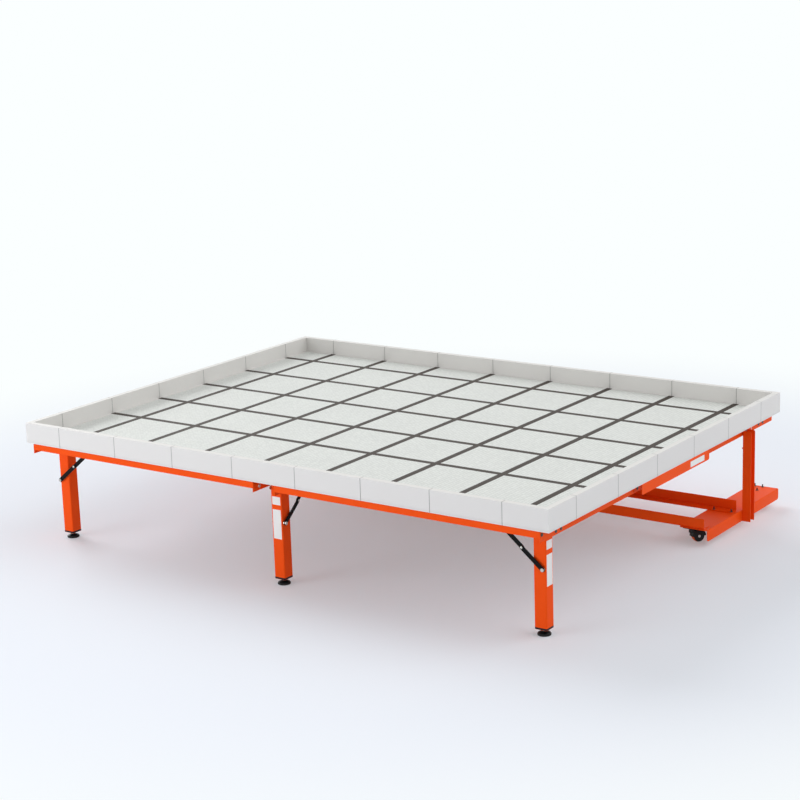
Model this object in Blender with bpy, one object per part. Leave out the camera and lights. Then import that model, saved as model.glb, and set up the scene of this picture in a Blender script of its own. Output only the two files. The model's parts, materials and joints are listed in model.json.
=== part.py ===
"""Folding riser that carries a walled playing field, for Blender 4.5.

A tray of square tiles with low walls lies on two bolted half frames of bent sheet steel.
Three legs with folding braces stand under the front edge.
At the back the frame tilts on two posts that rise from a base on four casters.
Metres, +Z up. The origin is on the floor, under the middle of the bounding box.
"""
import math

import bmesh
import bpy
from mathutils import Matrix, Vector

IN = 0.0254
GAP = 0.0003

# Field: tiles and walls
TILE = 12 * IN
COLUMNS = 8
ROWS = 6
TILE_THICK = 0.715 * IN
TILE_SKIN = 0.14 * IN
WALL_GAP = 0.5 * IN
WALL_THICK = 0.95 * IN
WALL_HEIGHT = 3.365 * IN
WALL_SKIN = 0.12 * IN
WALL_SEAM = 0.03 * IN
SEAM_DEPTH = 0.06 * IN
CORNER_LEG = 6 * IN

# Half frames of bent sheet
DECK_Z = 16.885 * IN
SHEET = 0.1 * IN
BEND = 0.16 * IN
SIDE_INSET = 1.45 * IN
MID_GAP = 4.0 * IN
CROSS_DEPTH = 1.6 * IN
CROSS_SHELF = 2.0 * IN
LONG_DEPTH = 1.0 * IN
FRONT_SHELF = 4.6 * IN
BACK_SHELF = 2.6 * IN
TAB = 1.1 * IN

# Bearers under the tiles and plates across the gap
BEARER_WIDTH = 2.4 * IN
BEARER_DEPTH = 1.3 * IN
REAR_BEARER_IN = 2.95 * IN
SPLICE_LENGTH = 3.0 * IN
SPLICE_DEPTH = 1.2 * IN

# Grab channels along the two ends
HANDLE_LENGTH = 22.0 * IN
HANDLE_DEPTH = 1.62 * IN
HANDLE_BACK_DEPTH = 1.36 * IN
HANDLE_CENTRE = 36.2 * IN
HANDLE_CORNER = 0.3 * IN

# Legs
LEG = 2.0 * IN
LEG_WALL = 0.1 * IN
LEG_ROUND = 0.18 * IN
SIDE_LEG_IN = 2.51 * IN
SIDE_LEG_BACK = 5.0 * IN
MID_LEG_BACK = 3.87 * IN
LEG_PIVOT_IN = 0.4 * IN
LEG_PIVOT_DROP = 1.385 * IN
LEG_TOP_OVER = 0.75 * IN
LEG_END_Z = 1.12 * IN
CAP_THICK = 0.15 * IN
CAP_PLUG = 0.6 * IN
FOOT_RADIUS = 1.0 * IN
FOOT_PAD = 0.26 * IN
FOOT_CONE = 0.34 * IN
STEM_RADIUS = 0.19 * IN
STEM_LENGTH = 2.4 * IN
FOOT_NUT = 0.17 * IN

# Leg brackets
PLATE = 0.12 * IN
CHEEK_RADIUS = 0.45 * IN
BRIDGE_START = 2.0 * IN
BRIDGE_LENGTH = 5.0 * IN
BRIDGE_DEPTH = 0.72 * IN

# Braces: two flat links between the leg and the frame
BRACE_TOP_IN = 5.94 * IN
BRACE_TOP_DROP = 1.405 * IN
BRACE_FOOT_OUT = 0.66 * IN
BRACE_FOOT_DROP = 6.845 * IN
LOWER_LINK = 4.3 * IN
LINK_WIDTH = 0.66 * IN
RIVET_HEAD = 0.075 * IN
HANGER_TAB = 1.0 * IN

# Fasteners
BOLT_RADIUS = 0.12 * IN
BOLT_HEAD = 0.22 * IN
BOLT_HEAD_THICK = 0.12 * IN
PIN_RADIUS = 0.16 * IN
PIN_HEAD = 0.28 * IN
TILT_RADIUS = 0.22 * IN
TILT_HEAD = 0.36 * IN
TILT_SPACER = 0.16 * IN
TILT_SPACER_RADIUS = 0.5 * IN

# Rolling base
TILT_FROM_BACK = 10.7 * IN
TILT_DROP = 0.885 * IN
FOOT_LENGTH = 26.8 * IN
FOOT_WIDTH = 5.0 * IN
FOOT_FLANGE = 1.83 * IN
FOOT_TOP_Z = 2.8 * IN
FOOT_CORNER = 0.4 * IN
RAIL_HEIGHT = 1.7 * IN
RAIL_WIDTH = 1.9 * IN
RAIL_END_IN = 0.75 * IN
FRONT_RAIL_IN = 0.27 * IN
REAR_RAIL_IN = 12.1 * IN
POST_WIDTH = 1.5 * IN
POST_DEPTH = 1.45 * IN
POST_OVER = 0.15 * IN
POST_CORNER = 0.3 * IN
STOP_RADIUS = 0.14 * IN
STOP_REACH = 0.42 * IN
STOP_BELOW = 2.95 * IN
STOP_PLAY = 0.03 * IN

# Casters
CASTER_IN = 1.5 * IN
CASTER_FROM_EDGE = 3.4 * IN
CASTER_PLATE_X = 1.9 * IN
CASTER_PLATE_Y = 2.9 * IN
WHEEL_RADIUS = 1.0 * IN
WHEEL_WIDTH = 0.78 * IN
HUB_RADIUS = 0.5 * IN
AXLE_RADIUS = 0.2 * IN
HUB_RECESS = 0.06 * IN
TRAIL = 1.0 * IN
TRAIL_ANGLE = math.radians(55)
HOOD_SKIN = 0.11 * IN
HOOD_GAP = 0.05 * IN
HOOD_CLEAR = 0.09 * IN
NECK_RADIUS = 0.62 * IN

# Places worked out from the sizes above
FIELD_X = COLUMNS * TILE
FIELD_Y = ROWS * TILE
WALL_OUT = WALL_GAP + WALL_THICK
DEPTH = max(FIELD_Y + 2 * WALL_OUT,
            FIELD_Y + 2 * WALL_OUT - TILT_FROM_BACK + FOOT_LENGTH / 2)
FRONT = -DEPTH / 2
GRID = FRONT + WALL_OUT
BACK = GRID + FIELD_Y + WALL_OUT
MIDDLE_ROW = GRID + FIELD_Y / 2
REAR_ROW = GRID + FIELD_Y - REAR_BEARER_IN
BEARER_ROWS = (MIDDLE_ROW - FIELD_Y / 4, MIDDLE_ROW, MIDDLE_ROW + FIELD_Y / 4, REAR_ROW)
TOP_Z = DECK_Z + TILE_THICK
FRAME_Z = DECK_Z - GAP
SIDE_X = FIELD_X / 2 + WALL_OUT - SIDE_INSET
MID_X = MID_GAP / 2
TILT_Y = BACK - TILT_FROM_BACK
TILT_Z = DECK_Z - TILT_DROP
FOOT_FRONT = TILT_Y - FOOT_LENGTH / 2
FOOT_REAR = TILT_Y + FOOT_LENGTH / 2
FOOT_LOW = FOOT_TOP_Z - FOOT_FLANGE
FOOT_X = SIDE_X + GAP + TILT_SPACER
POST_X = FOOT_X + GAP
LEG_PIVOT_Z = DECK_Z - LEG_PIVOT_DROP
BRACE_TOP_Z = DECK_Z - BRACE_TOP_DROP
BRACE_FOOT_Z = DECK_Z - BRACE_FOOT_DROP
BRACE_SPAN = math.hypot(BRACE_TOP_IN + BRACE_FOOT_OUT, BRACE_TOP_Z - BRACE_FOOT_Z)
BRACE_ANGLE = math.atan2(BRACE_TOP_Z - BRACE_FOOT_Z, BRACE_TOP_IN + BRACE_FOOT_OUT)
UPPER_LINK = BRACE_SPAN - LOWER_LINK

# Layers beside a leg, counted from its centre towards its brace
CHEEK_IN = LEG / 2 + GAP
CHEEK_OUT = CHEEK_IN + PLATE
UPPER_IN = CHEEK_OUT + GAP
UPPER_OUT = UPPER_IN + PLATE
LOWER_IN = UPPER_OUT + GAP
LOWER_OUT = LOWER_IN + PLATE

ORANGE = ("orange_powder_coat", (0.80, 0.10, 0.02), 0.35, 0.0)
BLACK_STEEL = ("black_brace", (0.015, 0.015, 0.016), 0.4, 0.3)
ZINC = ("zinc_fastener", (0.55, 0.54, 0.52), 0.35, 1.0)
TILE_GREY = ("tile_plastic", (0.70, 0.72, 0.69), 0.35, 0.0)
WALL_GREY = ("wall_plastic", (0.68, 0.68, 0.67), 0.4, 0.0)
BLACK_PLASTIC = ("black_plastic", (0.02, 0.02, 0.022), 0.45, 0.0)
WHEEL_ORANGE = ("orange_tyre", (0.75, 0.17, 0.03), 0.5, 0.0)
FOOT_STEEL = ("foot_steel", (0.32, 0.33, 0.34), 0.3, 1.0)


def clear_scene():
    for item in list(bpy.data.objects):
        bpy.data.objects.remove(item, do_unlink=True)


def material(spec):
    name, colour, roughness, metallic = spec
    if name in bpy.data.materials:
        return bpy.data.materials[name]
    mat = bpy.data.materials.new(name)
    mat.use_nodes = True
    shader = mat.node_tree.nodes["Principled BSDF"]
    shader.inputs["Base Color"].default_value = (*colour, 1)
    shader.inputs["Roughness"].default_value = roughness
    shader.inputs["Metallic"].default_value = metallic
    return mat


# Solids: every one is a loft through rings of equal length

def loft(bm, rings, frame=None, cyclic=False):
    """Join the rings with quads, then close both ends or join the last ring to the first."""
    frame = frame or Matrix()
    rows = [[bm.verts.new(frame @ Vector(point)) for point in ring] for ring in rings]
    count = len(rows[0])
    pairs = list(zip(rows, rows[1:]))
    if cyclic:
        pairs.append((rows[-1], rows[0]))
    faces = []
    for low, high in pairs:
        for i in range(count):
            j = (i + 1) % count
            faces.append(bm.faces.new((low[i], low[j], high[j], high[i])))
    if not cyclic:
        faces.append(bm.faces.new(list(reversed(rows[0]))))
        faces.append(bm.faces.new(rows[-1]))
    bmesh.ops.recalc_face_normals(bm, faces=faces)


def ordered(a, b):
    return (a, b) if a <= b else (b, a)


def rectangle(a, b):
    """Corner points of a rectangle given by two opposite corners."""
    (x0, x1), (y0, y1) = ordered(a[0], b[0]), ordered(a[1], b[1])
    return [(x0, y0), (x1, y0), (x1, y1), (x0, y1)]


def rounded(half_x, half_y, radius, steps=3):
    """Outline of a rectangle round the origin with round corners."""
    points = []
    for corner, (sx, sy) in enumerate(((1, 1), (-1, 1), (-1, -1), (1, -1))):
        for step in range(steps + 1):
            turn = math.radians(90) * (corner + step / steps)
            points.append((sx * (half_x - radius) + radius * math.cos(turn),
                           sy * (half_y - radius) + radius * math.sin(turn)))
    return points


def circle(radius, sides, centre=(0, 0), start=0.0):
    return [(centre[0] + radius * math.cos(start + math.tau * i / sides),
             centre[1] + radius * math.sin(start + math.tau * i / sides))
            for i in range(sides)]


def link_outline(start, end, radius, steps=6):
    """Outline of a flat bar with round ends round two centres."""
    angle = math.atan2(end[1] - start[1], end[0] - start[0])
    points = []
    for centre, first in ((end, angle - math.pi / 2), (start, angle + math.pi / 2)):
        for step in range(steps + 1):
            turn = first + math.pi * step / steps
            points.append((centre[0] + radius * math.cos(turn),
                           centre[1] + radius * math.sin(turn)))
    return points


def axis_frame(axis):
    """Frame whose Z runs along a world axis and whose X and Y are the other two, in order."""
    columns = {"X": ((0, 1, 0), (0, 0, 1), (1, 0, 0)),
               "Y": ((1, 0, 0), (0, 0, 1), (0, 1, 0)),
               "Z": ((1, 0, 0), (0, 1, 0), (0, 0, 1))}[axis]
    return Matrix(columns).transposed().to_4x4()


def prism(bm, outline, axis, start, end, frame=None):
    """Extrude an outline along an axis, between two coordinates on it."""
    frame = (frame or Matrix()) @ axis_frame(axis)
    start, end = ordered(start, end)
    loft(bm, [[(a, b, c) for a, b in outline] for c in (start, end)], frame)


def box(bm, low, high, frame=None):
    prism(bm, rectangle(low[:2], high[:2]), "Z", low[2], high[2], frame)


def shell(bm, outer, inner, low, high, skin):
    """A lidded shell that is open below."""
    levels = ((inner, high - skin), (inner, low), (outer, low), (outer, high))
    loft(bm, [[(x, y, z) for x, y in outline] for outline, z in levels])


def lathe(bm, profile, sides, frame, start=0.0):
    """Turn (radius, height) points round the frame's Z axis."""
    loft(bm, [[(x, y, z) for x, y in circle(radius, sides, start=start)]
              for radius, z in profile], frame)


def along(point, direction):
    """Frame at a point whose Z looks along a direction."""
    turn = Vector(direction).to_track_quat("Z", "Y").to_matrix().to_4x4()
    return Matrix.Translation(Vector(point)) @ turn


def bolt(bm, point, direction, grip, radius=BOLT_RADIUS, head=BOLT_HEAD,
         thick=BOLT_HEAD_THICK, tail=0.0):
    """Hex bolt and nut: the head sits behind the point, the shank runs the way of direction."""
    profile = [(head, -GAP - thick), (head, -GAP), (radius, -GAP), (radius, grip + GAP),
               (head, grip + GAP), (head, grip + GAP + thick)]
    if tail:
        profile += [(radius, grip + GAP + thick), (radius, grip + GAP + thick + tail)]
    lathe(bm, profile, 6, along(point, direction))


def hole(bm, point, direction, length, radius, sides=12):
    """Cutter for a round hole, centred on the point along its direction."""
    lathe(bm, [(radius, -length / 2), (radius, length / 2)], sides, along(point, direction))


def angle_outline(corner, leg_a, leg_b, sheet=SHEET, bend=BEND):
    """Section of a bent angle. The legs run from the outer corner, one along each axis."""
    x, y = corner
    sx, sy = math.copysign(1, leg_a), math.copysign(1, leg_b)
    points = [(x + leg_a, y), (x + leg_a, y + sy * sheet), (x + sx * sheet, y + sy * sheet),
              (x + sx * sheet, y + leg_b), (x, y + leg_b)]
    for step in range(4):
        turn = math.radians(30) * step
        points.append((x + sx * bend * (1 - math.cos(turn)), y + sy * bend * (1 - math.sin(turn))))
    return points


def channel_outline(back, side_a, side_b, reach, sheet=SHEET):
    """Section of a channel: its web lies at back, its two flanges reach away from it."""
    s = math.copysign(1, reach)
    return [(back, side_a), (back + reach, side_a), (back + reach, side_a + sheet),
            (back + s * sheet, side_a + sheet), (back + s * sheet, side_b - sheet),
            (back + reach, side_b - sheet), (back + reach, side_b), (back, side_b)]


# Objects

BODIES = {}


def body(name, place, parent=None):
    """Empty on a body's joint axis. Everything that moves with the body hangs on it."""
    empty = bpy.data.objects.new(name, None)
    empty.empty_display_size = 0.05
    bpy.context.scene.collection.objects.link(empty)
    origin = Vector(place)
    if parent:
        empty.parent = BODIES[parent][0]
        empty.location = origin - BODIES[parent][1]
    else:
        empty.location = origin
    BODIES[name] = (empty, origin)


def mesh_object(name, build, origin):
    bm = bmesh.new()
    build(bm)
    bmesh.ops.translate(bm, vec=-origin, verts=bm.verts)
    mesh = bpy.data.meshes.new(name)
    bm.to_mesh(mesh)
    bm.free()
    item = bpy.data.objects.new(name, mesh)
    bpy.context.scene.collection.objects.link(item)
    return item


def piece(name, on_body, spec, build, smooth=True):
    empty, origin = BODIES[on_body]
    item = mesh_object(name, build, origin)
    item.parent = empty
    item.data.materials.append(material(spec))
    if smooth:
        item.data.shade_smooth()
        item.data.set_sharp_from_angle(angle=math.radians(32))
    return item


def combine(item, operation, build):
    """Cut, clip or join a piece with a hidden tool shape."""
    tool = mesh_object(item.name + "_tool", build, Vector())
    tool.hide_render = True
    tool.display_type = "WIRE"
    modifier = item.modifiers.new(operation.lower(), "BOOLEAN")
    modifier.operation = operation
    modifier.solver = "EXACT"
    modifier.object = tool


def drill(item, holes):
    """Cut round holes: each is a point, a direction, a length and a radius."""
    def build(bm):
        for point, direction, length, radius in holes:
            hole(bm, point, direction, length, radius)
    combine(item, "DIFFERENCE", build)


# Field

def build_tiles():
    """The tiles interlock into one sheet, with a pocket under each."""
    def build(bm):
        box(bm, (-FIELD_X / 2, GRID, DECK_Z), (FIELD_X / 2, GRID + FIELD_Y, TOP_Z))
    tiles = piece("floor_tiles", "table", TILE_GREY, build, smooth=False)

    def pockets(bm):
        for column in range(COLUMNS):
            for row in range(ROWS):
                x = -FIELD_X / 2 + column * TILE
                y = GRID + row * TILE
                box(bm, (x + TILE_SKIN, y + TILE_SKIN, DECK_Z - TILE_SKIN),
                    (x + TILE - TILE_SKIN, y + TILE - TILE_SKIN, TOP_Z - TILE_SKIN))
    combine(tiles, "DIFFERENCE", pockets)


def wall_seam(bm, axis, place, inner, outer):
    """Groove where two wall pieces meet, over both faces and the top."""
    low, high = DECK_Z, DECK_Z + WALL_HEIGHT
    sign = math.copysign(SEAM_DEPTH, outer - inner)
    outline = [(inner - sign, low - SEAM_DEPTH), (inner - sign, high + SEAM_DEPTH),
               (outer + sign, high + SEAM_DEPTH), (outer + sign, low - SEAM_DEPTH),
               (outer - sign, low - SEAM_DEPTH), (outer - sign, high - SEAM_DEPTH),
               (inner + sign, high - SEAM_DEPTH), (inner + sign, low - SEAM_DEPTH)]
    prism(bm, outline, axis, place - WALL_SEAM / 2, place + WALL_SEAM / 2)


def end_wall_outline(near, far, inset=0.0):
    """Plan of a front or back wall with its corner pieces, between two distances from the field."""
    x_in, x_out = FIELD_X / 2 + near + inset, FIELD_X / 2 + far - inset
    y_in, y_out = FIELD_Y / 2 + near + inset, FIELD_Y / 2 + far - inset
    y_end = FIELD_Y / 2 - CORNER_LEG + WALL_SEAM / 2 + inset
    half = [(x_in, y_in), (x_in, y_end), (x_out, y_end), (x_out, y_out)]
    return half + [(-x, y) for x, y in reversed(half)]


def build_end_walls():
    middle = GRID + FIELD_Y / 2
    top = DECK_Z + WALL_HEIGHT
    inner, outer = FIELD_Y / 2 + WALL_GAP, FIELD_Y / 2 + WALL_OUT

    def plan(sign, *edges):
        return [(x, middle + sign * y) for x, y in end_wall_outline(*edges)]

    for name, sign in (("wall_front", -1), ("wall_back", 1)):
        def build(bm, sign=sign):
            shell(bm, plan(sign, WALL_GAP, WALL_OUT), plan(sign, WALL_GAP, WALL_OUT, WALL_SKIN),
                  DECK_Z, top, WALL_SKIN)
        wall = piece(name, "table", WALL_GREY, build, smooth=False)
        combine(wall, "UNION", lambda bm: prism(
            bm, plan(sign, GAP, WALL_GAP + WALL_SKIN / 2), "Z", TOP_Z - TILE_SKIN, TOP_Z))

        def seams(bm, sign=sign):
            for i in range(COLUMNS):
                x = CORNER_LEG - FIELD_X / 2 + i * TILE
                wall_seam(bm, "X", x, middle + sign * inner, middle + sign * outer)
        combine(wall, "DIFFERENCE", seams)


def build_side_walls():
    first = GRID + CORNER_LEG + WALL_SEAM / 2
    last = GRID + FIELD_Y - CORNER_LEG - WALL_SEAM / 2
    top = DECK_Z + WALL_HEIGHT
    for name, sign in (("wall_left", -1), ("wall_right", 1)):
        inner, outer = sign * (FIELD_X / 2 + WALL_GAP), sign * (FIELD_X / 2 + WALL_OUT)
        skin = sign * WALL_SKIN
        edge = sign * (FIELD_X / 2 + GAP)

        def build(bm):
            shell(bm, rectangle((inner, first), (outer, last)),
                  rectangle((inner + skin, first + WALL_SKIN), (outer - skin, last - WALL_SKIN)),
                  DECK_Z, top, WALL_SKIN)
        wall = piece(name, "table", WALL_GREY, build, smooth=False)
        combine(wall, "UNION", lambda bm: prism(
            bm, rectangle((edge, first), (inner + skin / 2, last)), "Z", TOP_Z - TILE_SKIN, TOP_Z))

        def seams(bm):
            for i in range(1, ROWS - 1):
                wall_seam(bm, "Y", GRID + CORNER_LEG + i * TILE, inner, outer)
        combine(wall, "DIFFERENCE", seams)


# Half frames

def name_side(side):
    return "left" if side < 0 else "right"


def side_leg_place(side):
    return (side * (SIDE_X - SIDE_LEG_IN), FRONT + SIDE_LEG_BACK)


def shelf_notches(bm, near, far):
    """Room in a cross rail's shelf for the flanges of the front and back rails."""
    x0, x1 = ordered(near, far)
    for end, turn in ((FRONT, 1), (BACK, -1)):
        y0, y1 = ordered(end - turn * SHEET, end + turn * (SHEET + GAP))
        box(bm, (x0, y0, FRAME_Z - 2 * SHEET), (x1, y1, FRAME_Z + SHEET))


def stop_slot():
    """Arc slot in the side rail for the stop bolt, open at the rail's lower edge."""
    reach = STOP_BELOW
    wide = STOP_RADIUS + STOP_PLAY
    first = wide / reach
    last = -math.asin(min(0.9, (CROSS_DEPTH - TILT_DROP + 2 * SHEET) / (reach - wide)))
    arc = [first + (last - first) * step / 8 for step in range(9)]
    outer = [(TILT_Y + (reach + wide) * math.cos(a), TILT_Z + (reach + wide) * math.sin(a))
             for a in arc]
    inner = [(TILT_Y + (reach - wide) * math.cos(a), TILT_Z + (reach - wide) * math.sin(a))
             for a in reversed(arc)]
    return outer + inner


def build_side_rail(side):
    outer = side * SIDE_X
    inner = side * (SIDE_X - SHEET)

    def build(bm):
        section = angle_outline((outer, FRAME_Z), -side * CROSS_SHELF, -CROSS_DEPTH)
        prism(bm, section, "Y", FRONT, BACK)
    rail = piece("side_rail_" + name_side(side), "table", ORANGE, build)

    def notches(bm):
        shelf_notches(bm, inner, side * (SIDE_X - CROSS_SHELF - SHEET))
        prism(bm, stop_slot(), "X", side * (SIDE_X + SHEET), side * (SIDE_X - 2 * SHEET))
    combine(rail, "DIFFERENCE", notches)

    drill(rail, [((outer, TILT_Y, TILT_Z), (side, 0, 0), 4 * SHEET, TILT_RADIUS + GAP)])


def build_mid_rail(side):
    face = side * MID_X

    def build(bm):
        section = angle_outline((face, FRAME_Z), side * CROSS_SHELF, -CROSS_DEPTH)
        prism(bm, section, "Y", FRONT, BACK)
    rail = piece("mid_rail_" + name_side(side), "table", ORANGE, build)

    def notches(bm):
        shelf_notches(bm, face + side * SHEET, side * (MID_X + CROSS_SHELF + SHEET))
    combine(rail, "DIFFERENCE", notches)

    if side > 0:
        combine(rail, "UNION", brace_stud)


def brace_stud(bm):
    """Stepped stud on the right mid rail that holds the top of the middle brace."""
    stud = [(PIN_HEAD, UPPER_IN - GAP - RIVET_HEAD), (PIN_HEAD, UPPER_IN - GAP),
            (PIN_RADIUS, UPPER_IN - GAP), (PIN_RADIUS, UPPER_OUT + GAP),
            (PIN_HEAD, UPPER_OUT + GAP), (PIN_HEAD, MID_X + SHEET + BOLT_HEAD_THICK)]
    lathe(bm, stud, 10, along(leg_point("middle", BRACE_TOP_IN, 0, BRACE_TOP_Z), (1, 0, 0)))


def build_long_rail(side, front):
    """Front or back rail of a half frame, with a bolted tab at each end."""
    face = FRONT if front else BACK
    turn = 1 if front else -1
    shelf = FRONT_SHELF if front else BACK_SHELF
    ends = (side * (MID_X + SHEET + GAP), side * (SIDE_X - SHEET - GAP))
    shelf_ends = (side * (MID_X + CROSS_SHELF + GAP), side * (SIDE_X - CROSS_SHELF - GAP))

    def build(bm):
        section = angle_outline((face, FRAME_Z), turn * shelf, -LONG_DEPTH)
        prism(bm, section, "X", *ends)
    name = ("front_rail_" if front else "back_rail_") + name_side(side)
    rail = piece(name, "table", ORANGE, build)

    def notches(bm):
        for end, shelf_end in zip(ends, shelf_ends):
            over = end + math.copysign(SHEET, end - shelf_end)
            x0, x1 = ordered(over, shelf_end)
            y0, y1 = ordered(face + turn * SHEET, face + turn * (shelf + SHEET))
            box(bm, (x0, y0, FRAME_Z - 3 * SHEET), (x1, y1, FRAME_Z + SHEET))
    combine(rail, "DIFFERENCE", notches)

    def tabs(bm):
        for end, shelf_end in zip(ends, shelf_ends):
            back = end - math.copysign(SHEET, end - shelf_end)
            x0, x1 = ordered(end, back)
            y0, y1 = ordered(face + turn * SHEET / 2, face + turn * TAB)
            box(bm, (x0, y0, FRAME_Z - LONG_DEPTH), (x1, y1, FRAME_Z - SHEET - GAP))
    combine(rail, "UNION", tabs)

    if front:
        combine(rail, "UNION", lambda bm: hanger(bm, name_side(side)))
        combine(rail, "UNION", lambda bm: hanger_pin(bm, name_side(side)))


def build_bearers(side):
    """Grid of stepped bearers on a spine. Their ends pass under the cross rails' shelves."""
    low = FRAME_Z - BEARER_DEPTH
    step = FRAME_Z - SHEET - GAP
    inset = CROSS_SHELF - SHEET
    half = BEARER_WIDTH / 2
    x0, x1 = ordered(side * (MID_X + SHEET + GAP), side * (SIDE_X - SHEET - GAP))
    middle = (x0 + x1) / 2
    rows = BEARER_ROWS

    def build(bm):
        section = [(x0, low), (x1, low), (x1, step), (x1 - inset, step), (x1 - inset, FRAME_Z),
                   (x0 + inset, FRAME_Z), (x0 + inset, step), (x0, step)]
        for y in rows:
            prism(bm, section, "Y", y - half, y + half)
    bearers = piece("deck_bearers_" + name_side(side), "table", ORANGE, build)
    combine(bearers, "UNION", lambda bm: box(bm, (middle - half, rows[0], low),
                                             (middle + half, rows[-1], FRAME_Z)))

    def pockets(bm):
        for y in rows:
            box(bm, (x0 + SHEET, y - half + SHEET, low - SHEET),
                (x1 - SHEET, y + half - SHEET, step - SHEET))
    combine(bearers, "DIFFERENCE", pockets)
    combine(bearers, "DIFFERENCE", lambda bm: box(
        bm, (middle - half + SHEET, rows[0], low - SHEET),
        (middle + half - SHEET, rows[-1], step - SHEET)))


def gap_channel(bm, y0, y1, depth):
    """Channel, open below, that fits between the two mid rails."""
    half = MID_X - GAP
    section = [(-half, FRAME_Z), (half, FRAME_Z), (half, FRAME_Z - depth),
               (half - SHEET, FRAME_Z - depth), (half - SHEET, FRAME_Z - SHEET),
               (SHEET - half, FRAME_Z - SHEET), (SHEET - half, FRAME_Z - depth),
               (-half, FRAME_Z - depth)]
    prism(bm, section, "Y", y0, y1)


def build_splices():
    for name, row in (("middle", MIDDLE_ROW), ("rear", REAR_ROW)):
        def build(bm, y=row):
            gap_channel(bm, y - SPLICE_LENGTH / 2, y + SPLICE_LENGTH / 2, SPLICE_DEPTH)
        piece("splice_plate_" + name, "table", ORANGE, build)


def build_bridge():
    """Channel across the gap, with two cheeks below it that carry the middle leg."""
    start = FRONT + BRIDGE_START

    def build(bm):
        gap_channel(bm, start, start + BRIDGE_LENGTH, BRIDGE_DEPTH)
    bridge = piece("leg_bridge", "table", ORANGE, build)
    combine(bridge, "UNION", lambda bm: cheeks(bm, "middle"))
    drill(bridge, [pivot_hole("middle")])


def build_handle(side):
    """Grab channel under the end wall. Its outer leg stands flush with the wall."""
    near = side * (SIDE_X + GAP)
    far = side * (SIDE_X + SIDE_INSET)
    y0 = GRID + HANDLE_CENTRE - HANDLE_LENGTH / 2
    y1 = y0 + HANDLE_LENGTH
    top = FRAME_Z

    def build(bm):
        section = [(near, top), (far, top), (far, top - HANDLE_DEPTH),
                   (far - side * SHEET, top - HANDLE_DEPTH), (far - side * SHEET, top - SHEET),
                   (near + side * SHEET, top - SHEET), (near + side * SHEET,
                                                        top - HANDLE_BACK_DEPTH),
                   (near, top - HANDLE_BACK_DEPTH)]
        prism(bm, section, "Y", y0, y1)
    handle = piece("side_handle_" + name_side(side), "table", ORANGE, build)

    def keep(bm):
        half = HANDLE_LENGTH / 2
        outline = [(GRID + HANDLE_CENTRE + a, top + b)
                   for a, b in rounded(half, HANDLE_DEPTH, HANDLE_CORNER)]
        prism(bm, outline, "X", near - side * SHEET, far + side * SHEET)
    combine(handle, "INTERSECT", keep)


# Legs. Each has its own frame: u is the way it folds, v the side its brace is on

LEG_FRAMES = {
    "left": (side_leg_place(-1), (1, 0), (0, -1)),
    "right": (side_leg_place(1), (-1, 0), (0, -1)),
    "middle": ((0, FRONT + MID_LEG_BACK), (0, 1), (1, 0)),
}


def leg_frame(leg):
    place, u, v = LEG_FRAMES[leg]
    return Matrix(((u[0], v[0], 0, place[0]), (u[1], v[1], 0, place[1]),
                   (0, 0, 1, 0), (0, 0, 0, 1)))


def leg_point(leg, u, v, z):
    return tuple(leg_frame(leg) @ Vector((u, v, z)))


def leg_way(leg, u, v):
    return tuple(leg_frame(leg).to_3x3() @ Vector((u, v, 0)))


def pivot_hole(leg):
    return (leg_point(leg, LEG_PIVOT_IN, 0, LEG_PIVOT_Z), leg_way(leg, 0, 1),
            3 * LEG, PIN_RADIUS + GAP)


def cheek_outline(top):
    """Side view of a bracket cheek that hangs from above and ends round the pivot."""
    points = [(LEG_PIVOT_IN + CHEEK_RADIUS, top), (LEG_PIVOT_IN - CHEEK_RADIUS, top)]
    for step in range(9):
        turn = math.pi * (1 + step / 8)
        points.append((LEG_PIVOT_IN + CHEEK_RADIUS * math.cos(turn),
                       LEG_PIVOT_Z + CHEEK_RADIUS * math.sin(turn)))
    return points


def cheeks(bm, leg):
    for inner, outer in ((CHEEK_IN, CHEEK_OUT), (-CHEEK_OUT, -CHEEK_IN)):
        prism(bm, cheek_outline(FRAME_Z - SHEET / 2), "Y", inner, outer, leg_frame(leg))


def build_side_bracket(side):
    """U bracket: its web is bolted to the side rail, its cheeks take the leg between them."""
    leg = name_side(side)
    frame = leg_frame(leg)
    back = -(SIDE_LEG_IN - SHEET - GAP)
    top = FRAME_Z - SHEET - GAP
    low = FRAME_Z - CROSS_DEPTH + GAP

    def build(bm):
        section = channel_outline(back, -CHEEK_OUT, CHEEK_OUT,
                                  LEG_PIVOT_IN + CHEEK_RADIUS - back, PLATE)
        prism(bm, section, "Z", LEG_PIVOT_Z - CHEEK_RADIUS, top, frame)
    bracket = piece("leg_bracket_" + leg, "table", ORANGE, build)

    def keep(bm):
        outline = [(back - PLATE, low)]
        for step in range(9):
            turn = math.pi * (1.5 + 0.5 * step / 8)
            outline.append((LEG_PIVOT_IN + CHEEK_RADIUS * math.cos(turn),
                            LEG_PIVOT_Z + CHEEK_RADIUS * math.sin(turn)))
        outline += [(LEG_PIVOT_IN + CHEEK_RADIUS, top + PLATE), (back - PLATE, top + PLATE)]
        prism(bm, outline, "Y", -2 * CHEEK_OUT, 2 * CHEEK_OUT, frame)
    combine(bracket, "INTERSECT", keep)
    drill(bracket, [pivot_hole(leg)])


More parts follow.
